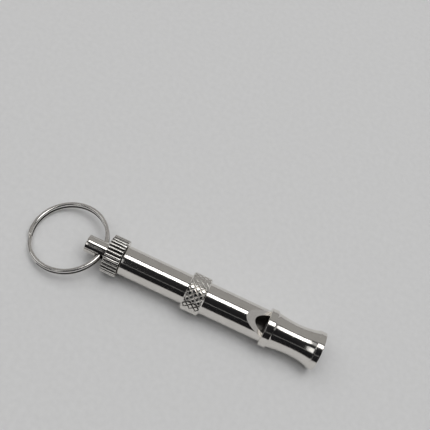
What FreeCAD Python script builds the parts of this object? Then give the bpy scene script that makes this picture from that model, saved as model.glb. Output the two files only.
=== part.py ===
import FreeCAD, Part
import math
import os

import Sketcher
from FreeCAD import Placement, Rotation, Vector

# An adjustable dog-training whistle with its key ring, in millimetres.
# The whistle lies along X with its mouth end at +X. Its axis is one rim radius above the surface.
# Stations along the whistle are counted from the free end of the stem, in each body's own frame,
# and one shift moves them all so that the origin is at the middle of the whole object's base.

os.makedirs("parts", exist_ok=True)
doc = FreeCAD.newDocument("training_whistle")

SIZES = [
    # lengths along the axis, from the stem to the mouth
    ("stem_length", 7.0, "from the stem's free end to the lock nut"),
    ("nut_length", 5.0, "fluted lock nut"),
    ("nut_gap", 0.2, "between the nut and the rear barrel, with the nut slackened"),
    ("rear_length", 21.2, "bare rear barrel"),
    ("collar_length", 6.0, "knurled collar"),
    ("front_length", 19.7, "bare front barrel"),
    ("mouth_length", 17.9, "mouthpiece"),
    # radii
    ("rim_radius", 6.0, "nut, collar and mouthpiece rims"),
    ("stem_radius", 2.75, "stem"),
    ("rear_radius", 4.65, "rear barrel"),
    ("rear_bore", 3.65, "inside of the rear barrel"),
    ("front_radius", 5.0, "front barrel"),
    ("front_bore", 4.0, "inside of the front barrel, where the plunger slides"),
    ("waist_radius", 4.9, "mouthpiece at its narrowest"),
    ("waist_share", 0.55, "place of the narrowest point along the waisted part, from its barrel end"),
    # mouthpiece
    ("inner_band", 2.4, "cylindrical rim at the barrel end"),
    ("outer_band", 2.0, "cylindrical rim at the mouth end"),
    ("inner_step", 0.4, "step from the inner rim down to the waisted part"),
    ("outer_step", 0.12, "step from the outer rim down to the waisted part"),
    ("mouth_bore", 3.85, "air passage through the mouthpiece"),
    ("mouth_flare", 4.55, "radius of the air passage at the mouth"),
    ("flare_length", 2.6, "length of the flare"),
    ("tenon_radius", 4.55, "front barrel inside the mouthpiece"),
    ("tenon_length", 3.4, "depth of the front barrel in the mouthpiece"),
    ("edge_break", 0.22, "chamfer on the turned edges"),
    # window and windway
    ("window_roll", 12.0, "turn of the window from straight up, towards -Y, in degrees"),
    ("ramp_length", 6.6, "ramp of the window along the barrel"),
    ("ramp_depth", 2.2, "depth of the ramp at the mouthpiece"),
    ("slit_height", 0.7, "height of the air slit over the plug's flat"),
    ("cut_margin", 1.0, "cutting outlines past the material they cut"),
    # collar joints
    ("rear_engage", 3.0, "rear barrel inside the collar"),
    ("front_engage", 2.9, "front barrel's spigot inside the collar"),
    ("spigot_radius", 4.5, "front barrel's spigot"),
    ("collar_chamfer", 0.35, "chamfer on the collar"),
    ("collar_relief", 0.1, "inside the collar, past the rear barrel"),
    # lock nut
    ("flute_count", 30, "V flutes round the nut"),
    ("flute_width", 0.8, "width of a flute at the rim"),
    ("flute_depth", 0.4, "depth of a flute"),
    ("nut_chamfer", 0.14, "chamfer on the nut"),
    ("nut_recess_radius", 2.85, "recess in the nut for the stem"),
    ("nut_recess_depth", 2.3, "depth of that recess"),
    # tuning screw
    ("stem_chamfer", 0.35, "chamfer on the stem's free end"),
    ("hole_station", 5.4, "centre of the stem's cross hole"),
    ("hole_radius", 1.6, "cross hole for the key ring"),
    ("stem_depth", 1.8, "stem inside the nut's recess"),
    ("shank_radius", 2.5, "threaded shank, over its thread"),
    ("shank_length", 20.0, "threaded shank"),
    ("thread_lead", 0.3, "chamfer where a thread starts"),
    ("rod_radius", 1.5, "rod from the shank to the plunger"),
    ("journal_radius", 1.0, "journal that turns in the plunger"),
    ("journal_tail", 0.6, "journal past the clip"),
    ("clip_groove", 0.25, "depth of the clip's groove in the journal"),
    ("running_gap", 0.06, "radial gap of a turning or sliding fit"),
    ("bush_length", 5.0, "threaded end bush"),
    ("bush_recess", 0.4, "bush below the end of the rear barrel"),
    # plunger
    ("plunger_station", 45.2, "back of the plunger with the screw fully in"),
    ("plunger_length", 4.2, "plunger"),
    ("plunger_radius", 3.92, "plunger"),
    ("plunger_chamfer", 0.25, "chamfer on the plunger"),
    ("groove_radius", 2.95, "floor of the seal's groove"),
    ("groove_width", 1.3, "seal's groove"),
    ("seal_section", 0.5, "radius of the seal's round section"),
    ("seal_clear", 0.04, "radial gap from the seal to the bore"),
    ("clip_thickness", 0.5, "retaining clip"),
    ("clip_radius", 2.0, "retaining clip, outside"),
    ("clip_gap_angle", 70.0, "opening of the clip, in degrees"),
    ("end_play", 0.06, "axial gap at the plunger's swivel"),
    # split ring
    ("ring_radius", 12.5, "split ring, outside"),
    ("ring_width", 1.25, "wire of the ring, across the ring"),
    ("coil_thickness", 1.1, "wire of the ring, one coil"),
    ("coil_gap", 0.06, "between the two coils"),
    ("ring_jog_angle", 30.0, "sweep over which the wire changes level, in degrees"),
    ("ring_jog_middle", 217.0, "middle of that sweep, counted from +X, in degrees"),
    ("ring_end_gap", 2.5, "from each end of the wire to the change of level, in degrees"),
    ("ring_clear", 0.02, "ring above the surface at its lowest point"),
    ("ring_stations", 8, "sections that shape the change of level"),
]

SAME_POINT = 1e-6
LEAST_CUT = 0.001

sheet = doc.addObject("Spreadsheet::Sheet", "Sizes")
for row, (alias, number, note) in enumerate(SIZES, start=1):
    sheet.set(f"A{row}", alias)
    sheet.set(f"B{row}", str(number))
    sheet.set(f"C{row}", note)
    sheet.setAlias(f"B{row}", alias)
doc.recompute()


def size(alias):
    return float(sheet.get(alias))


def value(expression):
    """Number of an expression in the sheet's cells."""
    result = sheet.evalExpression(expression)
    return float(getattr(result, "Value", result))


# Stations along the axis, as expressions in the sheet's cells.
NUT_START = "Sizes.stem_length"
NUT_END = f"{NUT_START} + Sizes.nut_length"
REAR_START = f"{NUT_END} + Sizes.nut_gap"
COLLAR_START = f"{REAR_START} + Sizes.rear_length"
COLLAR_END = f"{COLLAR_START} + Sizes.collar_length"
MOUTH_START = f"{COLLAR_END} + Sizes.front_length"
MOUTH_END = f"{MOUTH_START} + Sizes.mouth_length"
SHANK_START = f"{NUT_START} + Sizes.stem_depth"
SHANK_END = f"{SHANK_START} + Sizes.shank_length"
PLUNGER_END = "Sizes.plunger_station + Sizes.plunger_length"

# The ring hangs in the stem's hole and its far side rests on the surface.
RING_MIDDLE = size("ring_radius") - size("ring_width") / 2
RING_HEIGHT = 2 * size("coil_thickness") + size("coil_gap")
RING_REACH = RING_MIDDLE + size("ring_radius")
RING_DROP = size("rim_radius") - size("ring_clear")
RING_TILT = math.asin(RING_DROP / math.hypot(RING_REACH, RING_HEIGHT / 2))
RING_TILT -= math.atan2(RING_HEIGHT / 2, RING_REACH)
RING_FAR_X = size("hole_station") - RING_REACH * math.cos(RING_TILT)
RING_FAR_X -= RING_HEIGHT / 2 * math.sin(RING_TILT)
SHIFT_X = -(RING_FAR_X + value(MOUTH_END)) / 2
AXIS_Z = size("rim_radius")


def origin_plane(body, role):
    for feature in body.Origin.OriginFeatures:
        if feature.Role == role:
            return feature
    raise RuntimeError(f"no {role} in {body.Name}")


def new_body(name, roll=None):
    """Body whose X axis is the whistle's axis, with its origin at the stem's free end."""
    body = doc.addObject("PartDesign::Body", name)
    body.Label = name
    body.Placement = Placement(Vector(SHIFT_X, 0, AXIS_Z), Rotation(Vector(1, 0, 0), 0))
    body.setExpression("Placement.Base.z", "Sizes.rim_radius")
    if roll:
        body.setExpression("Placement.Rotation.Angle", roll)
    return body


def new_sketch(body, name, role):
    sketch = body.newObject("Sketcher::SketchObject", name)
    sketch.AttachmentSupport = [(origin_plane(body, role), "")]
    sketch.MapMode = "FlatFace"
    return sketch


def pin_vertex(sketch, edge, vertex, across, along):
    """Holds a vertex at the distances that two expressions give."""
    for kind, expression in (("DistanceX", across), ("DistanceY", along)):
        number = value(expression)
        index = sketch.addConstraint(Sketcher.Constraint(kind, -1, 1, edge, vertex, number))
        sketch.setExpression(f"Constraints[{index}]", expression)


def closed_outline(sketch, corners, arcs=None):
    """Draws straight edges through the corners. arcs maps an edge to (radius, bulge side)."""
    arcs = arcs or {}
    points = [Vector(value(a), value(b), 0) for a, b in corners]
    count = len(points)
    for index in range(count):
        start, end = points[index], points[(index + 1) % count]
        if index in arcs:
            middle = arc_middle(start, end, *arcs[index])
            sketch.addGeometry(Part.Arc(start, middle, end), False)
        else:
            sketch.addGeometry(Part.LineSegment(start, end), False)
    for index, (a, b) in enumerate(corners):
        edge = sketch.Geometry[index]
        near_start = edge.StartPoint.distanceToPoint(points[index]) < SAME_POINT
        pin_vertex(sketch, index, 1 if near_start else 2, a, b)
    for index in range(count):
        following = (index + 1) % count
        this_end = vertex_at(sketch, index, points[following])
        next_start = vertex_at(sketch, following, points[following])
        sketch.addConstraint(Sketcher.Constraint("Coincident", index, this_end, following, next_start))
    for index, (radius, _side) in arcs.items():
        constraint = sketch.addConstraint(Sketcher.Constraint("Radius", index, value(radius)))
        sketch.setExpression(f"Constraints[{constraint}]", radius)


def vertex_at(sketch, index, point):
    return 1 if sketch.Geometry[index].StartPoint.distanceToPoint(point) < SAME_POINT else 2


def arc_middle(start, end, radius, side):
    """Point half way along an arc from start to end that bulges to the given side in y."""
    chord = end - start
    rise = value(radius) - math.sqrt(value(radius) ** 2 - (chord.Length / 2) ** 2)
    across = Vector(-chord.y, chord.x, 0).normalize()
    if across.y * side < 0:
        across = -across
    return (start + end) / 2 + across * rise


def turned(body, corners, arcs=None):
    """Solid of revolution about the whistle's axis, from a half section of (station, radius)."""
    sketch = new_sketch(body, body.Name + "_section", "XZ_Plane")
    closed_outline(sketch, corners, arcs)
    revolution = body.newObject("PartDesign::Revolution", body.Name + "_turned")
    revolution.Profile = sketch
    revolution.ReferenceAxis = (sketch, ["H_Axis"])
    revolution.Angle = 360
    sketch.Visibility = False
    doc.recompute()
    return revolution


def cut_through(body, name, sketch):
    """Pocket from a sketch on the middle plane, through the body both ways."""
    before = body.Shape.Volume
    pocket = body.newObject("PartDesign::Pocket", name)
    pocket.Profile = sketch
    pocket.Midplane = True
    pocket.Type = "ThroughAll"
    sketch.Visibility = False
    doc.recompute()
    if body.Shape.Volume > before - LEAST_CUT:
        raise RuntimeError(f"{name} cuts nothing")
    return pocket


def make_mouthpiece():
    """Waisted mouthpiece with a cylindrical rim at each end and a counterbore for the barrel."""
    body = new_body("mouthpiece")
    shoulder = f"{MOUTH_START} + Sizes.tenon_length"
    band_end = f"{MOUTH_START} + Sizes.inner_band"
    band_start = f"{MOUTH_END} - Sizes.outer_band"
    inner_edge = "Sizes.rim_radius - Sizes.inner_step"
    outer_edge = "Sizes.rim_radius - Sizes.outer_step"
    waisted = "(Sizes.mouth_length - Sizes.inner_band - Sizes.outer_band)"
    inner_reach = f"({waisted} * Sizes.waist_share)"
    outer_reach = f"({waisted} * (1 - Sizes.waist_share))"
    inner_sag = f"({inner_edge} - Sizes.waist_radius)"
    outer_sag = f"({outer_edge} - Sizes.waist_radius)"
    corners = [
        (MOUTH_START, "Sizes.tenon_radius"),
        (MOUTH_START, "Sizes.rim_radius - Sizes.edge_break"),
        (f"{MOUTH_START} + Sizes.edge_break", "Sizes.rim_radius"),
        (band_end, "Sizes.rim_radius"),
        (band_end, inner_edge),
        (f"{band_end} + {inner_reach}", "Sizes.waist_radius"),
        (band_start, outer_edge),
        (band_start, "Sizes.rim_radius"),
        (f"{MOUTH_END} - Sizes.edge_break", "Sizes.rim_radius"),
        (MOUTH_END, "Sizes.rim_radius - Sizes.edge_break"),
        (MOUTH_END, "Sizes.mouth_flare"),
        (f"{MOUTH_END} - Sizes.flare_length", "Sizes.mouth_bore"),
        (shoulder, "Sizes.mouth_bore"),
        (shoulder, "Sizes.tenon_radius"),
    ]
    inner_arc = corners.index((band_end, inner_edge))
    arcs = {
        inner_arc: (f"({inner_reach}^2 + {inner_sag}^2) / (2 * {inner_sag})", -1),
        inner_arc + 1: (f"({outer_reach}^2 + {outer_sag}^2) / (2 * {outer_sag})", -1),
    }
    turned(body, corners, arcs)
    return body


def make_windway_plug():
    """Plug in the end of the front barrel, with a flat that leaves the air slit."""
    body = new_body("windway_plug", roll="Sizes.window_roll")
    corners = [
        (MOUTH_START, "0"),
        (MOUTH_START, "Sizes.front_bore"),
        (f"{MOUTH_START} + Sizes.tenon_length", "Sizes.front_bore"),
        (f"{MOUTH_START} + Sizes.tenon_length", "0"),
    ]
    turned(body, corners)
    flat = new_sketch(body, "plug_flat", "XZ_Plane")
    flat_height = "Sizes.front_bore - Sizes.slit_height"
    flat_top = "Sizes.front_bore + Sizes.cut_margin"
    flat_start = f"{MOUTH_START} - Sizes.cut_margin"
    flat_end = f"{MOUTH_START} + Sizes.tenon_length + Sizes.cut_margin"
    closed_outline(flat, [
        (flat_start, flat_height),
        (flat_end, flat_height),
        (flat_end, flat_top),
        (flat_start, flat_top),
    ])
    cut_through(body, "plug_flat_cut", flat)
    return body


def make_front_barrel():
    """Sounding barrel: spigot, bare barrel with the window's ramp, and tenon."""
    body = new_body("front_barrel", roll="Sizes.window_roll")
    spigot_start = f"{COLLAR_END} - Sizes.front_engage"
    tenon_end = f"{MOUTH_START} + Sizes.tenon_length"
    corners = [
        (spigot_start, "Sizes.front_bore"),
        (spigot_start, "Sizes.spigot_radius"),
        (COLLAR_END, "Sizes.spigot_radius"),
        (COLLAR_END, "Sizes.front_radius"),
        (MOUTH_START, "Sizes.front_radius"),
        (MOUTH_START, "Sizes.tenon_radius"),
        (tenon_end, "Sizes.tenon_radius"),
        (tenon_end, "Sizes.front_bore"),
    ]
    turned(body, corners)
    window = new_sketch(body, "window_section", "XZ_Plane")
    ramp_start = f"{MOUTH_START} - Sizes.ramp_length"
    closed_outline(window, [
        (ramp_start, "Sizes.front_radius"),
        (MOUTH_START, "Sizes.front_radius - Sizes.ramp_depth"),
        (MOUTH_START, "Sizes.front_radius + Sizes.cut_margin"),
        (ramp_start, "Sizes.front_radius + Sizes.cut_margin"),
    ])
    cut_through(body, "window_cut", window)
    return body


def make_knurled_collar():
    """Collar that joins the two barrels. Its knurl's crests are on the rim radius."""
    body = new_body("knurled_collar")
    step = f"{COLLAR_START} + Sizes.rear_engage + Sizes.collar_relief"
    corners = [
        (COLLAR_START, "Sizes.rear_radius"),
        (COLLAR_START, "Sizes.rim_radius - Sizes.collar_chamfer"),
        (f"{COLLAR_START} + Sizes.collar_chamfer", "Sizes.rim_radius"),
        (f"{COLLAR_END} - Sizes.collar_chamfer", "Sizes.rim_radius"),
        (COLLAR_END, "Sizes.rim_radius - Sizes.collar_chamfer"),
        (COLLAR_END, "Sizes.spigot_radius"),
        (step, "Sizes.spigot_radius"),
        (step, "Sizes.rear_radius"),
    ]
    turned(body, corners)
    return body


def make_rear_barrel():
    body = new_body("rear_barrel")
    inner_end = f"{COLLAR_START} + Sizes.rear_engage"
    corners = [
        (REAR_START, "Sizes.rear_bore"),
        (REAR_START, "Sizes.rear_radius - Sizes.edge_break"),
        (f"{REAR_START} + Sizes.edge_break", "Sizes.rear_radius"),
        (inner_end, "Sizes.rear_radius"),
        (inner_end, "Sizes.rear_bore"),
    ]
    turned(body, corners)
    return body


def make_end_bush():
    """Threaded bush in the rear barrel that the tuning screw runs through."""
    body = new_body("end_bush")
    start = f"{REAR_START} + Sizes.bush_recess"
    end = f"{start} + Sizes.bush_length"
    bore = "Sizes.shank_radius + Sizes.running_gap"
    lead = "Sizes.thread_lead"
    corners = [
        (start, f"{bore} + {lead}"),
        (start, "Sizes.rear_bore"),
        (end, "Sizes.rear_bore"),
        (end, f"{bore} + {lead}"),
        (f"{end} - {lead}", bore),
        (f"{start} + {lead}", bore),
    ]
    turned(body, corners)
    return body


def make_lock_nut():
    """Fluted nut on the screw's thread, with a recess that hides the end of the stem."""
    body = new_body("lock_nut")
    recess_end = f"{NUT_START} + Sizes.nut_recess_depth"
    bore = "Sizes.shank_radius + Sizes.running_gap"
    corners = [
        (NUT_START, "Sizes.nut_recess_radius"),
        (NUT_START, "Sizes.rim_radius - Sizes.nut_chamfer"),
        (f"{NUT_START} + Sizes.nut_chamfer", "Sizes.rim_radius"),
        (f"{NUT_END} - Sizes.nut_chamfer", "Sizes.rim_radius"),
        (NUT_END, "Sizes.rim_radius - Sizes.nut_chamfer"),
        (NUT_END, bore),
        (recess_end, bore),
        (recess_end, "Sizes.nut_recess_radius"),
    ]
    turned(body, corners)
    flute = new_sketch(body, "flute_section", "YZ_Plane")
    above_rim = "Sizes.rim_radius + Sizes.flute_depth"
    closed_outline(flute, [
        ("0", "Sizes.rim_radius - Sizes.flute_depth"),
        ("Sizes.flute_width", above_rim),
        ("0 - Sizes.flute_width", above_rim),
    ])
    pocket = cut_through(body, "flute_cut", flute)
    one_flute = body.Shape.Volume
    pattern = body.newObject("PartDesign::PolarPattern", "flute_ring")
    pattern.Originals = [pocket]
    pattern.Axis = (origin_plane(body, "X_Axis"), [""])
    pattern.Angle = 360
    pattern.Occurrences = int(size("flute_count"))
    pattern.setExpression("Occurrences", "Sizes.flute_count")
    body.Tip = pattern
    doc.recompute()
    if body.Shape.Volume > one_flute - LEAST_CUT:
        raise RuntimeError("only one flute was cut")
    return body


def make_tuning_screw():
    """Stem with its cross hole, threaded shank, rod and journal, turned from one bar."""
    body = new_body("tuning_screw")
    clip_start = f"{PLUNGER_END} + Sizes.end_play * 2"
    clip_end = f"{clip_start} + Sizes.clip_thickness"
    journal_start = "Sizes.plunger_station - Sizes.end_play"
    groove_floor = "Sizes.journal_radius - Sizes.clip_groove"
    journal_end = f"{clip_end} + Sizes.journal_tail"
    lead = "Sizes.thread_lead"
    corners = [
        ("0", "0"),
        ("0", "Sizes.stem_radius - Sizes.stem_chamfer"),
        ("Sizes.stem_chamfer", "Sizes.stem_radius"),
        (SHANK_START, "Sizes.stem_radius"),
        (SHANK_START, "Sizes.shank_radius"),
        (f"{SHANK_END} - {lead}", "Sizes.shank_radius"),
        (SHANK_END, f"Sizes.shank_radius - {lead}"),
        (SHANK_END, "Sizes.rod_radius"),
        (journal_start, "Sizes.rod_radius"),
        (journal_start, "Sizes.journal_radius"),
        (clip_start, "Sizes.journal_radius"),
        (clip_start, groove_floor),
        (clip_end, groove_floor),
        (clip_end, "Sizes.journal_radius"),
        (journal_end, "Sizes.journal_radius"),
        (journal_end, "0"),
    ]
    turned(body, corners)
    hole = new_sketch(body, "ring_hole_section", "XZ_Plane")
    centre = Vector(size("hole_station"), 0, 0)
    hole.addGeometry(Part.Circle(centre, Vector(0, 0, 1), size("hole_radius")), False)
    hole.addConstraint(Sketcher.Constraint("PointOnObject", 0, 3, -1))
    across = hole.addConstraint(Sketcher.Constraint("DistanceX", -1, 1, 0, 3, size("hole_station")))
    hole.setExpression(f"Constraints[{across}]", "Sizes.hole_station")
    radius = hole.addConstraint(Sketcher.Constraint("Radius", 0, size("hole_radius")))
    hole.setExpression(f"Constraints[{radius}]", "Sizes.hole_radius")
    cut_through(body, "ring_hole", hole)
    return body


def make_plunger():
    """Plunger that closes the sounding bore. It swivels on the screw's journal."""
    body = new_body("plunger")
    bore = "Sizes.journal_radius + Sizes.running_gap"
    middle = "(Sizes.plunger_station + Sizes.plunger_length / 2)"
    chamfer = "Sizes.plunger_chamfer"
    corners = [
        ("Sizes.plunger_station", bore),
        ("Sizes.plunger_station", f"Sizes.plunger_radius - {chamfer}"),
        (f"Sizes.plunger_station + {chamfer}", "Sizes.plunger_radius"),
        (f"{middle} - Sizes.groove_width / 2", "Sizes.plunger_radius"),
        (f"{middle} - Sizes.groove_width / 2", "Sizes.groove_radius"),
        (f"{middle} + Sizes.groove_width / 2", "Sizes.groove_radius"),
        (f"{middle} + Sizes.groove_width / 2", "Sizes.plunger_radius"),
        (f"{PLUNGER_END} - {chamfer}", "Sizes.plunger_radius"),
        (PLUNGER_END, f"Sizes.plunger_radius - {chamfer}"),
        (PLUNGER_END, bore),
    ]
    turned(body, corners)
    return body


def on_whistle_axis(feature):
    """Turns a primitive's own Z axis onto the whistle's axis and moves it to the whistle."""
    feature.Placement = Placement(Vector(SHIFT_X, 0, AXIS_Z), Rotation(Vector(0, 1, 0), 90))
    feature.setExpression("Placement.Base.z", "Sizes.rim_radius")


def make_plunger_seal():
    """Round seal in the plunger's groove, just clear of the bore."""
    seal = doc.addObject("Part::Torus", "plunger_seal")
    seal.Label = "plunger_seal"
    on_whistle_axis(seal)
    seal.setExpression("Radius1", "Sizes.front_bore - Sizes.seal_clear - Sizes.seal_section")
    seal.setExpression("Radius2", "Sizes.seal_section")
    seal.setExpression("Placement.Base.x", f"{SHIFT_X} + Sizes.plunger_station + Sizes.plunger_length / 2")
    return seal


def make_plunger_clip():
    """Open clip in the journal's groove."""
    start = value(f"{PLUNGER_END} + Sizes.end_play * 2")
    sweep = 360 - size("clip_gap_angle")
    inner = size("journal_radius") - size("clip_groove")
    section = Part.makePolygon([
        Vector(start, 0, inner),
        Vector(start, 0, size("clip_radius")),
        Vector(start + size("clip_thickness"), 0, size("clip_radius")),
        Vector(start + size("clip_thickness"), 0, inner),
        Vector(start, 0, inner),
    ])
    clip = doc.addObject("Part::Feature", "plunger_clip")
    clip.Label = "plunger_clip"
    clip.Shape = Part.Face(section).revolve(Vector(0, 0, 0), Vector(1, 0, 0), sweep)
    clip.Placement = Placement(Vector(SHIFT_X, 0, AXIS_Z), Rotation(Vector(1, 0, 0), 0))
    return clip


def ring_section(angle, low):
    """Wire's rectangular section at an angle round the ring, with its lower edge at low."""
    inner = size("ring_radius") - size("ring_width")
    outer = size("ring_radius")
    high = low + size("coil_thickness")
    out = Vector(math.cos(math.radians(angle)), math.sin(math.radians(angle)), 0)
    up = Vector(0, 0, 1)
    corners = [
        out * inner + up * low,
        out * outer + up * low,
        out * outer + up * high,
        out * inner + up * high,
    ]
    return Part.makePolygon(corners + [corners[0]])


def flat_turn(start, end, low):
    """Level stretch of the ring's wire, from one angle to another."""
    axis = Vector(0, 0, 1)
    return Part.Face(ring_section(start, low)).revolve(Vector(0, 0, 0), axis, end - start)


def make_split_ring():
    """Flat wire in two turns. It changes level once, and each end stops against that jog."""
    low = -RING_HEIGHT / 2
    high = low + size("coil_thickness") + size("coil_gap")
    jog = size("ring_jog_angle")
    jog_start = size("ring_jog_middle") - jog / 2
    jog_end = jog_start + jog
    end_gap = size("ring_end_gap")
    stations = int(size("ring_stations"))
    ramp = []
    for index in range(stations + 1):
        part = index / stations
        rise = part * part * (3 - 2 * part)
        ramp.append(ring_section(jog_start + jog * part, low + (high - low) * rise))
    pieces = [
        flat_turn(jog_end + end_gap - 360, jog_start, low),
        Part.makeLoft(ramp, True, True),
        flat_turn(jog_end, jog_start - end_gap + 360, high),
    ]
    wire = pieces[0].fuse(pieces[1:]).removeSplitter()
    ring = doc.addObject("Part::Feature", "split_ring")
    ring.Label = "split_ring"
    ring.Shape = wire.Solids[0]
    tilt = Rotation(Vector(0, 1, 0), -math.degrees(RING_TILT))
    hole = Vector(size("hole_station") + SHIFT_X, 0, AXIS_Z)
    ring.Placement = Placement(hole - tilt.multVec(Vector(RING_MIDDLE, 0, 0)), tilt)
    return ring


subparts = [
    make_mouthpiece(),
    make_windway_plug(),
    make_front_barrel(),
    make_knurled_collar(),
    make_rear_barrel(),
    make_end_bush(),
    make_lock_nut(),
    make_tuning_screw(),
    make_plunger(),
    make_plunger_seal(),
    make_plunger_clip(),
    make_split_ring(),
]
doc.recompute()

for item in doc.Objects:
    if "Invalid" in item.State or "Error" in item.State:
        raise RuntimeError(f"{item.Name} failed: {item.State}")

for item in subparts:
    shape = item.Shape
    if shape.isNull() or not shape.isValid() or len(shape.Solids) != 1:
        raise RuntimeError(f"{item.Label} is not one valid solid")
    shape.exportStep(os.path.join("parts", item.Label + ".step"))
    box = shape.optimalBoundingBox()
    low, high = (box.XMin, box.YMin, box.ZMin), (box.XMax, box.YMax, box.ZMax)
    print(item.Label, [round(number, 3) for number in (shape.Volume, *low, *high)])
print("ring tilt", round(math.degrees(RING_TILT), 3), "shift", round(SHIFT_X, 3))
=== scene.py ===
import math

import bmesh
import bpy
from mathutils import Matrix, Vector


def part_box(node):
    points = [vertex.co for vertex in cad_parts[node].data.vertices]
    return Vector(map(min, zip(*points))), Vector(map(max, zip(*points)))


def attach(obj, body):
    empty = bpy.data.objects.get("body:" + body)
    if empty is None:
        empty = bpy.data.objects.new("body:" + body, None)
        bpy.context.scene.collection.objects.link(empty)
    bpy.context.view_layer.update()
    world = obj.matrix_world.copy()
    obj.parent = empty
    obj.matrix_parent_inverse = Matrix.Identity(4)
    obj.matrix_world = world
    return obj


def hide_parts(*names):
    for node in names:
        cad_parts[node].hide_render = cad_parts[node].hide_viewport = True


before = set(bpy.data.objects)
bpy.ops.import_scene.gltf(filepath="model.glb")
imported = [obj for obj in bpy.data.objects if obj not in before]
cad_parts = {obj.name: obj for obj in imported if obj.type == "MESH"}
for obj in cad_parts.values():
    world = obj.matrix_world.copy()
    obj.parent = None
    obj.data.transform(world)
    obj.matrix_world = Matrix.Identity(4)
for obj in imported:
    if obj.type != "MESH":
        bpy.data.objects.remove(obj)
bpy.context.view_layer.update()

MM = 0.001

# The whistle lies along X. Its stations and outer radii are read from the frame, in metres.
STEM_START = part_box("tuning_screw")[0].x
NUT_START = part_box("lock_nut")[0].x
NUT_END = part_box("lock_nut")[1].x
REAR_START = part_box("rear_barrel")[0].x
COLLAR_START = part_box("knurled_collar")[0].x
COLLAR_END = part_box("knurled_collar")[1].x
MOUTH_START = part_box("mouthpiece")[0].x
MOUTH_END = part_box("mouthpiece")[1].x
SCREW_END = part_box("tuning_screw")[1].x
AXIS_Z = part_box("mouthpiece")[1].z / 2
AXIS = Vector((0, 0, AXIS_Z))
RIM_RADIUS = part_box("mouthpiece")[1].y
FRONT_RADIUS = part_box("front_barrel")[1].y
REAR_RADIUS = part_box("rear_barrel")[1].y
STEM_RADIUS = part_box("tuning_screw")[1].y
RING_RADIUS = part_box("split_ring")[1].y

# Sizes inside those outlines that more than one piece or material needs.
FRONT_BORE = 4.0 * MM
TENON_RADIUS = 4.55 * MM
SHANK_RADIUS = 2.5 * MM
HOLE_STATION = 5.4 * MM
HOLE_MIDDLE = Vector((STEM_START + HOLE_STATION, 0, AXIS_Z))

# The split ring hangs in the stem's cross hole, tilted until its far edge comes down to the surface.
WIRE_WIDTH = 1.25 * MM
COIL_THICKNESS = 1.1 * MM
COIL_GAP = 0.06 * MM
RING_CLEAR = 0.02 * MM
RING_HALF_HEIGHT = COIL_THICKNESS + COIL_GAP / 2
RING_MIDDLE_RADIUS = RING_RADIUS - WIRE_WIDTH / 2
RING_REACH = RING_MIDDLE_RADIUS + RING_RADIUS
RING_TILT = (math.asin((AXIS_Z - RING_CLEAR) / math.hypot(RING_REACH, RING_HALF_HEIGHT))
             - math.atan2(RING_HALF_HEIGHT, RING_REACH))
RING_CENTRE = HOLE_MIDDLE - RING_MIDDLE_RADIUS * Vector((math.cos(RING_TILT), 0, math.sin(RING_TILT)))
JOG_MIDDLE = math.radians(217)

ROUND_STEPS = 192
SHARP_ANGLE = math.radians(30)
SAME_POINT = 1e-7


# ---------------------------------------------------------------- mesh helpers

def link_mesh(name, bm):
    """Makes an object of a bmesh, shaded smooth except across sharp edges."""
    bmesh.ops.recalc_face_normals(bm, faces=bm.faces)
    mesh = bpy.data.meshes.new(name)
    bm.to_mesh(mesh)
    bm.free()
    piece = bpy.data.objects.new(name, mesh)
    bpy.context.scene.collection.objects.link(piece)
    mark_sharp(mesh)
    return piece


def mark_sharp(mesh, angle=SHARP_ANGLE):
    """Shades a mesh smooth, except across edges sharper than an angle."""
    for face in mesh.polygons:
        face.use_smooth = True
    mesh.set_sharp_from_angle(angle=angle)


def rounded(profile, radius):
    """Replaces the corners of a closed (x, r) outline by small arcs, except those on the axis."""
    steps = 4
    nearly_straight = math.radians(165)
    most_of_edge = 0.45
    result = []
    count = len(profile)
    for index in range(count):
        before = Vector(profile[index - 1])
        corner = Vector(profile[index])
        after = Vector(profile[(index + 1) % count])
        to_before, to_after = before - corner, after - corner
        turn = to_before.angle(to_after)
        if turn > nearly_straight or corner.y == 0:
            result.append(tuple(corner))
            continue
        shorter = min(to_before.length, to_after.length)
        reach = min(radius / math.tan(turn / 2), shorter * most_of_edge)
        start = corner + to_before.normalized() * reach
        end = corner + to_after.normalized() * reach
        for step in range(steps + 1):
            part = step / steps
            point = start.lerp(corner, part).lerp(corner.lerp(end, part), part)
            result.append(tuple(point))
    return result


def divided(profile, longest):
    """Splits the long edges of a closed outline, so that shading stays even along them."""
    result = []
    for index, point in enumerate(profile):
        start, end = Vector(point), Vector(profile[(index + 1) % len(profile)])
        parts = max(1, math.ceil((end - start).length / longest))
        for step in range(parts):
            result.append(tuple(start.lerp(end, step / parts)))
    return result


def lathe(name, profile, radius_at=None, steps=ROUND_STEPS):
    """Turns a closed (x, r) outline about the whistle's axis. radius_at changes r by angle."""
    bm = bmesh.new()
    rings = []
    for step in range(steps):
        angle = 2 * math.pi * step / steps
        ring = []
        for x, radius in profile:
            r = radius_at(x, radius, angle) if radius_at else radius
            ring.append(bm.verts.new((x, r * math.sin(angle), AXIS_Z + r * math.cos(angle))))
        rings.append(ring)
    for here, there in zip(rings, rings[1:] + rings[:1]):
        add_band(bm, here, there)
    bmesh.ops.remove_doubles(bm, verts=bm.verts, dist=SAME_POINT)
    return link_mesh(name, bm)


def add_band(bm, here, there):
    """Faces between two closed rows of vertices."""
    count = len(here)
    for index in range(count):
        following = (index + 1) % count
        bm.faces.new((here[index], here[following], there[following], there[index]))


def cutter_cylinder(start, end, radius):
    """Round bar between two points, used to cut a hole."""
    bm = bmesh.new()
    turn = (end - start).to_track_quat("Z", "Y").to_matrix().to_4x4()
    place = Matrix.Translation((start + end) / 2) @ turn
    bmesh.ops.create_cone(bm, cap_ends=True, segments=96, radius1=radius, radius2=radius,
                          depth=(end - start).length, matrix=place)
    return link_mesh("cutter", bm)


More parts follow.
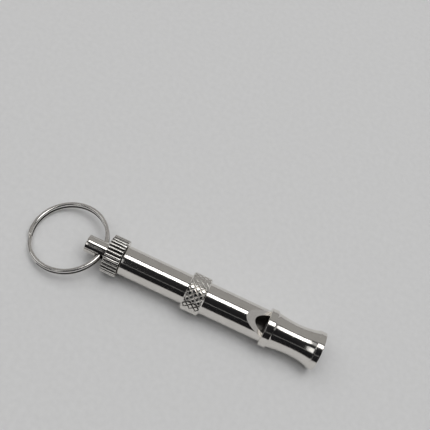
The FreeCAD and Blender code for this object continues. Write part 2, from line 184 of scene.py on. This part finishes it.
def cut(piece, cutter, sharp_angle=SHARP_ANGLE):
    """Takes the cutter's solid away from the piece for good."""
    modifier = piece.modifiers.new("cut", "BOOLEAN")
    modifier.operation = "DIFFERENCE"
    modifier.solver = "EXACT"
    modifier.object = cutter
    bpy.context.view_layer.update()
    evaluated = piece.evaluated_get(bpy.context.evaluated_depsgraph_get())
    mesh = bpy.data.meshes.new_from_object(evaluated)
    piece.modifiers.clear()
    piece.data = mesh
    bpy.data.objects.remove(cutter)
    mark_sharp(mesh, sharp_angle)


def arc_from_lowest(lowest, end):
    """Points of a circular arc in (x, r) that leaves its lowest point level and reaches the end."""
    steps = 32
    (x0, r0), (x1, r1) = lowest, end
    reach, rise = x1 - x0, r1 - r0
    radius = (reach * reach + rise * rise) / (2 * rise)
    points = []
    for step in range(1, steps + 1):
        along = reach * step / steps
        points.append((x0 + along, r0 + radius - math.sqrt(radius * radius - along * along)))
    return points


# ---------------------------------------------------------------- shader helpers

def node_material(name):
    material = bpy.data.materials.new(name)
    material.use_nodes = True
    tree = material.node_tree
    shader = tree.nodes["Principled BSDF"]
    return material, tree, shader


def add(tree, kind, **values):
    """Node whose sockets and settings have the given values."""
    node = tree.nodes.new(kind)
    for key, item in values.items():
        if key in node.inputs:
            node.inputs[key].default_value = item
        else:
            setattr(node, key, item)
    return node


def calculated(tree, kind, operation, inputs):
    """Maths node. Its inputs, in order, are other nodes' sockets or constants."""
    node = add(tree, kind, operation=operation)
    for socket, item in zip(node.inputs, inputs):
        if isinstance(item, bpy.types.NodeSocket):
            tree.links.new(item, socket)
        else:
            socket.default_value = item
    return node


def number(tree, operation, *inputs):
    """Number worked out from numbers."""
    return calculated(tree, "ShaderNodeMath", operation, inputs).outputs["Value"]


def number_of_vectors(tree, operation, *inputs):
    """Number worked out from vectors, such as a length."""
    return calculated(tree, "ShaderNodeVectorMath", operation, inputs).outputs["Value"]


def vector(tree, operation, *inputs):
    """Vector worked out from vectors."""
    return calculated(tree, "ShaderNodeVectorMath", operation, inputs).outputs["Vector"]


def object_point(tree):
    """The shaded point's place on the object, in metres."""
    return add(tree, "ShaderNodeTexCoord").outputs["Object"]


def stretched_point(tree, scale=(1, 1, 1)):
    """The shaded point's place in millimetres, with a scale along each axis."""
    mapping = add(tree, "ShaderNodeMapping", Scale=[part / MM for part in scale])
    tree.links.new(object_point(tree), mapping.inputs["Vector"])
    return mapping.outputs["Vector"]


def noise(tree, place, **values):
    """Factor of a noise texture, from 0 to 1."""
    texture = add(tree, "ShaderNodeTexNoise", **values)
    tree.links.new(place, texture.inputs["Vector"])
    return texture.outputs["Fac"]


def two_tone(tree, factor, low, high):
    """Colour that runs from one tone to the other over the middle of a noise's range."""
    node = add(tree, "ShaderNodeValToRGB")
    for element, place, tone in zip(node.color_ramp.elements, (0.3, 0.7), (low, high)):
        element.position = place
        element.color = (*tone, 1)
    tree.links.new(factor, node.inputs["Fac"])
    return node.outputs["Color"]


def blend(tree, factor, outer, inner):
    """Colour that is outer where the factor is 0 and inner where it is 1."""
    factor_input, outer_input, inner_input, colour_output = 0, 6, 7, 2
    node = add(tree, "ShaderNodeMix", data_type="RGBA")
    tree.links.new(factor, node.inputs[factor_input])
    tree.links.new(outer, node.inputs[outer_input])
    node.inputs[inner_input].default_value = (*inner, 1)
    return node.outputs[colour_output]


def bumped(tree, height, strength, distance, under=None):
    """Normal raised by a height, on top of another normal if there is one."""
    node = add(tree, "ShaderNodeBump", Strength=strength, Distance=distance)
    tree.links.new(height, node.inputs["Height"])
    if under:
        tree.links.new(under, node.inputs["Normal"])
    return node.outputs["Normal"]


def inside_of(tree, radius):
    """1 nearer to the whistle's axis than a radius, 0 outside it."""
    across_axis = vector(tree, "MULTIPLY", vector(tree, "SUBTRACT", object_point(tree), AXIS), (0, 1, 1))
    return number(tree, "LESS_THAN", number_of_vectors(tree, "LENGTH", across_axis), radius)


def in_flutes(tree, depth, end_margin):
    """1 in the lock nut's flutes below a depth, 0 on its ridges and its end faces."""
    parts = add(tree, "ShaderNodeSeparateXYZ")
    tree.links.new(object_point(tree), parts.inputs["Vector"])
    middle, half = (NUT_START + NUT_END) / 2, (NUT_END - NUT_START) / 2
    between_ends = number(tree, "COMPARE", parts.outputs["X"], middle, half - end_margin)
    return number(tree, "MULTIPLY", between_ends, inside_of(tree, RIM_RADIUS - depth))


def between_coils(tree, half, jog_reach):
    """1 near the split ring's middle plane, 0 away from it and where the wire changes level."""
    upright = (-math.sin(RING_TILT), 0, math.cos(RING_TILT))
    towards_jog = (math.cos(JOG_MIDDLE) * math.cos(RING_TILT), math.sin(JOG_MIDDLE),
                   math.cos(JOG_MIDDLE) * math.sin(RING_TILT))
    offset = vector(tree, "SUBTRACT", object_point(tree), RING_CENTRE)
    height = number(tree, "ABSOLUTE", number_of_vectors(tree, "DOT_PRODUCT", offset, upright))
    near = number(tree, "LESS_THAN", height, half)
    from_jog = number_of_vectors(tree, "DOT_PRODUCT", offset, towards_jog)
    level = number(tree, "LESS_THAN", from_jog, jog_reach)
    return number(tree, "MULTIPLY", near, level)


# ---------------------------------------------------------------- materials

def plated_metal(name, tint, dull, roughness, turning=0.0, scratches=0.02, painted_shade_mask=None,
                 painted_shade_tone=(0.20, 0.19, 0.175)):
    """Plated or bare metal: cloudy tint, patchy roughness, fine scratches and turning marks.

    Its mask argument, if given, makes a socket that is 1 where shade is painted: there the colour turns
    to a dark painted shade tone and the metal is rougher.
    """
    patchiness = 0.12
    roughness_in_painted_shade = 0.3
    material, tree, shader = node_material(name)
    place = stretched_point(tree)
    colour = two_tone(tree, noise(tree, place, Scale=0.35, Detail=4.0, Roughness=0.6), dull, tint)
    spread = add(tree, "ShaderNodeMapRange")
    spread.inputs["To Min"].default_value = roughness * (1 - patchiness)
    spread.inputs["To Max"].default_value = roughness * (1 + patchiness)
    tree.links.new(noise(tree, place, Scale=0.9, Detail=6.0, Roughness=0.65), spread.inputs["Value"])
    rough = spread.outputs["Result"]
    # Painted shade: where the mask is 1, the colour is darkened to a dark tone that stands for shade in
    # bores, flutes and between coils. The roughness is raised there too.
    if painted_shade_mask:
        inside = painted_shade_mask(tree)
        colour = blend(tree, inside, colour, painted_shade_tone)
        rough = number(tree, "MULTIPLY_ADD", inside, roughness_in_painted_shade, rough)

    hairs = noise(tree, stretched_point(tree, scale=(0.6, 6, 6)), Scale=2.2, Detail=3.0)
    normal = bumped(tree, hairs, scratches, distance=0.1 * MM)
    if turning:
        lines = noise(tree, stretched_point(tree, scale=(14, 0.05, 0.05)), Scale=1.0, Detail=2.0)
        normal = bumped(tree, lines, turning, distance=0.05 * MM, under=normal)

    shader.inputs["Metallic"].default_value = 1.0
    tree.links.new(colour, shader.inputs["Base Color"])
    tree.links.new(rough, shader.inputs["Roughness"])
    tree.links.new(normal, shader.inputs["Normal"])
    return material


def black_rubber(name):
    material, tree, shader = node_material(name)
    grain = noise(tree, stretched_point(tree), Scale=6.0, Detail=3.0)
    colour = two_tone(tree, grain, (0.012, 0.012, 0.013), (0.035, 0.034, 0.033))
    tree.links.new(colour, shader.inputs["Base Color"])
    shader.inputs["Roughness"].default_value = 0.45
    tree.links.new(bumped(tree, grain, strength=0.2, distance=0.05 * MM), shader.inputs["Normal"])
    return material


def bore_painted_shade(tree):
    """Mask for painted shade, darkening the mouthpiece's passage and the seat of the barrel's tenon."""
    return inside_of(tree, 4.6 * MM)


def tube_painted_shade(tree):
    """Mask for painted shade, darkening the barrels' bores."""
    return inside_of(tree, FRONT_BORE + 0.02 * MM)


# Painted shade: the lock nut's flutes below this depth are coloured near black.
def flute_painted_shade(tree):
    return in_flutes(tree, depth=0.14 * MM, end_margin=0.05 * MM)


# Painted shade: a dark band along the middle plane between the split ring's two coils, left off where
# the wire changes level.
def coil_painted_shade(tree):
    return between_coils(tree, half=0.45 * MM, jog_reach=0.86 * RING_RADIUS)


BRIGHT, CLOUDED = (0.80, 0.775, 0.735), (0.74, 0.715, 0.675)
# The mouthpiece and the barrels carry painted shade in their bores, where the plating is also rougher.
NICKEL = plated_metal("polished_nickel", BRIGHT, CLOUDED, roughness=0.13, turning=0.10, painted_shade_mask=bore_painted_shade)
NICKEL_SCREW = plated_metal("nickel_screw", BRIGHT, CLOUDED, roughness=0.09, turning=0.12)
NICKEL_TUBE = plated_metal("nickel_tube", BRIGHT, (0.73, 0.705, 0.665), roughness=0.12, turning=0.08,
                           painted_shade_mask=tube_painted_shade)
# Painted shade: the windway plug, seen only through the window, gets a near-black tone that stands for
# the shade inside the mouthpiece.
PLUG_IN_PAINTED_SHADE = plated_metal("nickel_plug", (0.24, 0.23, 0.215), (0.18, 0.17, 0.16), roughness=0.35)
NICKEL_KNURL = plated_metal("nickel_knurl", BRIGHT, (0.70, 0.68, 0.64), roughness=0.14)
# Painted shade: near-black tone in the nut's flutes.
NICKEL_NUT = plated_metal("nickel_nut", (0.82, 0.80, 0.76), (0.74, 0.72, 0.68), roughness=0.22,
                          painted_shade_mask=flute_painted_shade, painted_shade_tone=(0.05, 0.048, 0.045))
# Painted shade: near-black tone between the ring's coils.
RING_STEEL = plated_metal("ring_steel", (0.84, 0.82, 0.79), (0.74, 0.72, 0.69), roughness=0.13,
                          scratches=0.06, painted_shade_mask=coil_painted_shade, painted_shade_tone=(0.06, 0.058, 0.055))
INNER_BRASS = plated_metal("inner_brass", (0.72, 0.56, 0.30), (0.58, 0.43, 0.21), roughness=0.28,
                           turning=0.3)
DARK_STEEL = plated_metal("clip_steel", (0.42, 0.42, 0.43), (0.30, 0.30, 0.31), roughness=0.3)
RUBBER = black_rubber("seal_rubber")


def dress(piece, node, body, material):
    """The piece stands for a CAD node, rides on its body and wears the material."""
    piece.data.materials.clear()
    piece.data.materials.append(material)
    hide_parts(node)
    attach(piece, body)
    return piece


# ---------------------------------------------------------------- pieces

def make_mouthpiece():
    """Waisted mouthpiece with a cylindrical rim at each end. Two arcs meet at its narrowest point."""
    inner_band, outer_band = 2.4 * MM, 2.0 * MM
    inner_step, outer_step = 0.4 * MM, 0.12 * MM
    waist_radius, waist_share = 4.9 * MM, 0.55
    bore, flare_radius, flare_length = 3.85 * MM, 4.55 * MM, 2.6 * MM
    tenon_length = 3.4 * MM
    inner_corner = (MOUTH_START + inner_band, RIM_RADIUS - inner_step)
    outer_corner = (MOUTH_END - outer_band, RIM_RADIUS - outer_step)
    soft = rounded([
        (MOUTH_START, TENON_RADIUS),
        (MOUTH_START, RIM_RADIUS),
        (inner_corner[0], RIM_RADIUS),
        inner_corner,
        outer_corner,
        (outer_corner[0], RIM_RADIUS),
        (MOUTH_END, RIM_RADIUS),
        (MOUTH_END, flare_radius),
        (MOUTH_END - flare_length, bore),
        (MOUTH_START + tenon_length, bore),
        (MOUTH_START + tenon_length, TENON_RADIUS),
    ], radius=0.20 * MM)

    def away(point, corner):
        return abs(point[0] - corner[0]) + abs(point[1] - corner[1])

    def nearest_to(corner):
        return min(range(len(soft)), key=lambda index: away(soft[index], corner))

    # The waist replaces what lies between the middles of the two corners' roundings.
    lowest = (inner_corner[0] + waist_share * (outer_corner[0] - inner_corner[0]), waist_radius)
    to_inner = arc_from_lowest(lowest, inner_corner)
    to_outer = arc_from_lowest(lowest, outer_corner)
    waist = to_inner[-2::-1] + [lowest] + to_outer[:-1]
    profile = soft[:nearest_to(inner_corner)] + waist + soft[nearest_to(outer_corner) + 1:]
    return lathe("mouthpiece_turned", divided(profile, longest=0.8 * MM))


def make_front_barrel():
    """Tube with a spigot in the collar, a tenon in the mouthpiece and the window cut beside it."""
    spigot_radius = 4.5 * MM
    window_edge = math.radians(7)
    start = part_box("front_barrel")[0].x
    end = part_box("front_barrel")[1].x
    profile = [
        (start, FRONT_BORE),
        (start, spigot_radius),
        (COLLAR_END, spigot_radius),
        (COLLAR_END, FRONT_RADIUS),
        (MOUTH_START, FRONT_RADIUS),
        (MOUTH_START, TENON_RADIUS),
        (end, TENON_RADIUS),
        (end, FRONT_BORE),
    ]
    piece = lathe("front_barrel_tube", divided(profile, longest=0.6 * MM))
    cut(piece, window_wedge(), window_edge)
    return piece


def window_wedge():
    """Prism that cuts the window: a sloping floor that is deepest beside the mouthpiece."""
    ramp_length, ramp_depth = 6.6 * MM, 2.2 * MM
    window_roll = math.radians(12)
    half_width = 8 * MM
    top = FRONT_RADIUS + 3 * MM
    outline = [
        (MOUTH_START - ramp_length, FRONT_RADIUS),
        (MOUTH_START, FRONT_RADIUS - ramp_depth),
        (MOUTH_START, top),
        (MOUTH_START - ramp_length, top),
    ]
    turn = Matrix.Translation(AXIS) @ Matrix.Rotation(window_roll, 4, "X")
    bm = bmesh.new()
    sides = []
    for y in (-half_width, half_width):
        sides.append([bm.verts.new(turn @ Vector((x, y, z))) for x, z in outline])
    bm.faces.new(sides[0])
    bm.faces.new(list(reversed(sides[1])))
    add_band(bm, *sides)
    return link_mesh("cutter", bm)


def make_rear_barrel():
    """Plain tube with softened ends."""
    bore = 3.65 * MM
    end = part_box("rear_barrel")[1].x
    profile = [
        (REAR_START, bore),
        (REAR_START, REAR_RADIUS),
        (end, REAR_RADIUS),
        (end, bore),
    ]
    return lathe("rear_barrel_tube", divided(rounded(profile, radius=0.2 * MM), longest=0.8 * MM))


def make_collar():
    """Collar with a real diamond knurl: two crossing sets of helical grooves with round walls."""
    around, along_pitch = 19, 1.82 * MM
    depth, half_groove = 0.24 * MM, 0.24
    chamfer = 0.4 * MM
    bore = 4.66 * MM
    steps_per_pitch = 26
    length = COLLAR_END - COLLAR_START

    def radius_at(x, radius, angle):
        """Radius on the knurl. half_groove is a share of the pitch."""
        if radius < RIM_RADIUS:
            return radius
        along, about = x / along_pitch, around * angle / (2 * math.pi)
        height = 1.0
        for phase in (along + about, along - about):
            wall = min(1.0, abs(phase - round(phase)) / half_groove)
            height = min(height, wall * (2 - wall))
        to_end = min(x - COLLAR_START, COLLAR_END - x)
        chamfered = RIM_RADIUS - max(0.0, chamfer - to_end)
        return min(chamfered, RIM_RADIUS - depth * (1 - height))

    rows = round(length / along_pitch * steps_per_pitch)
    outer = [(COLLAR_START + length * row / rows, RIM_RADIUS) for row in range(rows + 1)]
    profile = [(COLLAR_START, bore)] + outer + [(COLLAR_END, bore)]
    return lathe("knurled_collar_cut", profile, radius_at, steps=around * steps_per_pitch)


def make_nut():
    """Fluted lock nut. V grooves run along the axis, and the ridges between them are worn round."""
    flutes, depth = 30, 0.40 * MM
    steps_per_flute = 24
    chamfer = 0.14 * MM
    running_gap = 0.06 * MM
    bore = SHANK_RADIUS + running_gap
    recess_radius, recess_depth = 2.85 * MM, 2.3 * MM

    def radius_at(x, radius, angle):
        turns = flutes * angle / (2 * math.pi)
        wall = 2 * abs(turns - round(turns))
        return min(radius, RIM_RADIUS - depth * (1 - wall) ** 2)

    profile = [
        (NUT_START, recess_radius),
        (NUT_START, RIM_RADIUS - chamfer),
        (NUT_START + chamfer, RIM_RADIUS),
        (NUT_END - chamfer, RIM_RADIUS),
        (NUT_END, RIM_RADIUS - chamfer),
        (NUT_END, bore),
        (NUT_START + recess_depth, bore),
        (NUT_START + recess_depth, recess_radius),
    ]
    profile = divided(profile, longest=1.0 * MM)
    return lathe("lock_nut_fluted", profile, radius_at, steps=flutes * steps_per_flute)


def make_screw():
    """Stem with its cross hole, and the threaded shank and rod behind it."""
    stem_end = STEM_START + 8.8 * MM
    shank_end = stem_end + 20 * MM
    rod_radius, journal_radius = 1.5 * MM, 1.0 * MM
    journal_start = STEM_START + 45.14 * MM
    pitch, depth, crest_share = 0.8 * MM, 0.42 * MM, 0.12
    thread_start = stem_end + 0.4 * MM
    thread_end = shank_end - 0.3 * MM
    hole_radius = 1.6 * MM

    def radius_at(x, radius, angle):
        """Right-hand thread: the lathe's angle runs against the right-hand rule about +X."""
        if not thread_start < x < thread_end:
            return radius
        phase = x / pitch + angle / (2 * math.pi)
        away = abs(phase - round(phase)) * 2
        groove = (away - crest_share) / (1 - 2 * crest_share)
        return SHANK_RADIUS - depth * max(0.0, min(1.0, groove))

    stem = rounded([
        (STEM_START, 0.0),
        (STEM_START, STEM_RADIUS),
        (stem_end, STEM_RADIUS),
        (stem_end, SHANK_RADIUS),
        (shank_end, SHANK_RADIUS),
    ], radius=0.25 * MM)
    stem = [point for point in stem if point[0] < stem_end + 0.05 * MM]
    rows = 400
    shank = [(stem_end + (shank_end - stem_end) * row / rows, SHANK_RADIUS) for row in range(1, rows)]
    rod = [
        (shank_end, rod_radius),
        (journal_start, rod_radius),
        (journal_start, journal_radius),
        (SCREW_END, journal_radius),
        (SCREW_END, 0.0),
    ]
    # divided() also splits the edge that closes the stem's outline, so that the finished outline
    # goes down inside the stem and back before the shank. This leaves a hidden conical seam there.
    profile = divided(stem, longest=0.8 * MM)[:-1] + shank + rod
    piece = lathe("tuning_screw_turned", profile, radius_at, steps=128)
    reach = Vector((0, RIM_RADIUS, 0))
    cut(piece, cutter_cylinder(HOLE_MIDDLE - reach, HOLE_MIDDLE + reach, hole_radius))
    return piece


def make_ring():
    """Two turns of flat wire with rounded edges. The wire changes level once, and its ends stop there.

    The section shrinks over the last steps, so that the ends have soft edges.
    """
    jog, end_gap = math.radians(30), math.radians(2.5)
    end_steps, end_shrink = 2, 0.10
    steps = 640
    low = -(COIL_THICKNESS + COIL_GAP) / 2
    high = -low
    turn = Matrix.Rotation(-RING_TILT, 4, "Y")
    place = Matrix.Translation(HOLE_MIDDLE) @ turn @ Matrix.Translation((-RING_MIDDLE_RADIUS, 0, 0))

    start = JOG_MIDDLE + jog / 2 + end_gap - 2 * math.pi
    end = JOG_MIDDLE - jog / 2 - end_gap + 2 * math.pi
    section = flat_wire_section(WIRE_WIDTH, COIL_THICKNESS, corner=0.47 * MM)
    bm = bmesh.new()
    rings = []
    for step in range(steps + 1):
        angle = start + (end - start) * step / steps
        part = min(1.0, max(0.0, (angle - (JOG_MIDDLE - jog / 2)) / jog))
        level = low + (high - low) * part * part * (3 - 2 * part)
        out = Vector((math.cos(angle), math.sin(angle), 0))
        to_end = min(step, steps - step)
        shrink = 1.0 - end_shrink * max(0, end_steps - to_end) / end_steps
        ring = []
        for across, up in section:
            point = out * (RING_MIDDLE_RADIUS + across * shrink) + Vector((0, 0, level + up * shrink))
            ring.append(bm.verts.new(place @ point))
        rings.append(ring)
    for here, there in zip(rings, rings[1:]):
        add_band(bm, here, there)
    bm.faces.new(rings[0])
    bm.faces.new(list(reversed(rings[-1])))
    return link_mesh("split_ring_wire", bm)


def flat_wire_section(width, height, corner):
    """Rectangle with round corners, as (across, up) points."""
    steps = 6
    points = []
    for side_x, side_y, first in ((1, 1, 0), (-1, 1, 90), (-1, -1, 180), (1, -1, 270)):
        centre_x = side_x * (width / 2 - corner)
        centre_y = side_y * (height / 2 - corner)
        for step in range(steps + 1):
            angle = math.radians(first + 90 * step / steps)
            points.append((centre_x + corner * math.cos(angle), centre_y + corner * math.sin(angle)))
    return points


dress(make_mouthpiece(), "mouthpiece", "barrel", NICKEL)
dress(make_front_barrel(), "front_barrel", "barrel", NICKEL_TUBE)
dress(make_rear_barrel(), "rear_barrel", "barrel", NICKEL_TUBE)
dress(make_collar(), "knurled_collar", "barrel", NICKEL_KNURL)
dress(make_nut(), "lock_nut", "lock_nut", NICKEL_NUT)
dress(make_screw(), "tuning_screw", "tuning_screw", NICKEL_SCREW)
dress(make_ring(), "split_ring", "key_ring", RING_STEEL)

KEPT_NODES = {
    "windway_plug": PLUG_IN_PAINTED_SHADE,
    "end_bush": INNER_BRASS,
    "plunger": INNER_BRASS,
    "plunger_seal": RUBBER,
    "plunger_clip": DARK_STEEL,
}
for node, material in KEPT_NODES.items():
    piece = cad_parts[node]
    piece.data.materials.clear()
    piece.data.materials.append(material)
    mark_sharp(piece.data)


# ---------------------------------------------------------------- floor, light, camera

def make_floor():
    """Plain pale floor with a slight mottle."""
    bm = bmesh.new()
    bmesh.ops.create_grid(bm, x_segments=1, y_segments=1, size=5.0)
    floor = link_mesh("floor", bm)
    material, tree, shader = node_material("pale_floor")
    grain = noise(tree, stretched_point(tree), Scale=0.6, Detail=5.0)
    colour = two_tone(tree, grain, (0.60, 0.60, 0.60), (0.63, 0.63, 0.63))
    tree.links.new(colour, shader.inputs["Base Color"])
    shader.inputs["Roughness"].default_value = 0.9
    shader.inputs["Specular IOR Level"].default_value = 0.1
    floor.data.materials.append(material)


def make_panel(name, edges, width, middle_x, radiance, colour=(1, 1, 1)):
    """Panel between two (y, z) edges, centred on middle_x, that lights the object's side of it."""
    (y0, z0), (y1, z1) = edges
    height = math.hypot(y1 - y0, z1 - z0)
    data = bpy.data.lights.new(name, "AREA")
    data.shape = "RECTANGLE"
    data.size = width
    data.size_y = height
    data.energy = radiance * math.pi * width * height
    data.color = colour
    light = bpy.data.objects.new(name, data)
    bpy.context.scene.collection.objects.link(light)
    along = Vector((0, y1 - y0, z1 - z0)).normalized()
    across = Vector((1, 0, 0))
    facing = across.cross(along)
    middle = Vector((middle_x, (y0 + y1) / 2, (z0 + z1) / 2))
    if facing.dot(middle) < 0:
        across, facing = -across, -facing
    turn = Matrix((across, along, facing)).transposed()
    light.matrix_world = Matrix.Translation(middle) @ turn.to_4x4()
    return light


def make_lights():
    """A softbox nearly overhead, dim panels round it, and a strip and a lamp on the near side."""
    height = 2.4
    overhead = ((-0.06, height), (0.72, height))
    beside = ((-0.9, height), (0.9, height))
    make_panel("softbox", overhead, width=1.62, middle_x=0.28, radiance=3.6)
    make_panel("dim_softbox", overhead, width=1.22, middle_x=-1.16, radiance=0.42)
    make_panel("right_panel", beside, width=2.4, middle_x=3.0, radiance=0.42)
    make_panel("left_panel", beside, width=2.4, middle_x=-3.0, radiance=1.0)
    fill = make_panel("fill", ((-1.2, height), (1.6, height)), width=3.4, middle_x=0.0, radiance=1.6)
    fill.visible_glossy = False
    make_panel("far_panel", ((1.05, height), (5.2, 0.15)), width=9.0, middle_x=0.0, radiance=0.32,
               colour=(1.0, 0.985, 0.96))
    make_panel("near_strip", ((-2.40, 2.10), (-2.52, 2.02)), width=5.0, middle_x=0.0, radiance=0.25)
    make_panel("near_lamp", ((-0.99, 2.45), (-1.96, 1.77)), width=0.70, middle_x=-0.95, radiance=1.15)
    world = bpy.data.worlds.new("studio")
    world.use_nodes = True
    background = world.node_tree.nodes["Background"]
    background.inputs["Color"].default_value = (0.012, 0.012, 0.013, 1)
    background.inputs["Strength"].default_value = 1.0
    bpy.context.scene.world = world


def make_camera():
    """Camera at the photograph's viewing angle: above the near side, turned so that the whistle slopes.

    It looks past the target, which lies off the picture's middle by shares of the picture's width.
    """
    elevation, azimuth, roll = math.radians(66), math.radians(1.7), math.radians(23.56)
    distance = 226 * MM
    sensor, lens = 36, 62.456
    target = Vector((STEM_START + 36 * MM, 0, AXIS_Z))
    off_right, off_down = -0.0467, 0.18219

    back = Vector((math.sin(azimuth) * math.cos(elevation),
                   -math.cos(azimuth) * math.cos(elevation),
                   math.sin(elevation)))
    right = Vector((math.cos(azimuth), math.sin(azimuth), 0))
    up = back.cross(right)
    rolled_right = right * math.cos(roll) + up * math.sin(roll)
    rolled_up = up * math.cos(roll) - right * math.sin(roll)
    aim = Matrix((rolled_right, rolled_up, back)).transposed()

    towards = Vector((off_right * sensor, -off_down * sensor, -lens)).normalized()
    swing = Vector((0, 0, -1)).rotation_difference(towards).to_matrix()
    turn = aim @ swing.inverted()

    data = bpy.data.cameras.new("camera")
    data.sensor_width = sensor
    data.lens = lens
    data.clip_start = 0.01
    camera = bpy.data.objects.new("camera", data)
    bpy.context.scene.collection.objects.link(camera)
    camera.matrix_world = Matrix.Translation(target + back * distance) @ turn.to_4x4()
    bpy.context.scene.camera = camera


make_floor()
make_lights()
make_camera()
bpy.context.scene.view_settings.view_transform = "Standard"
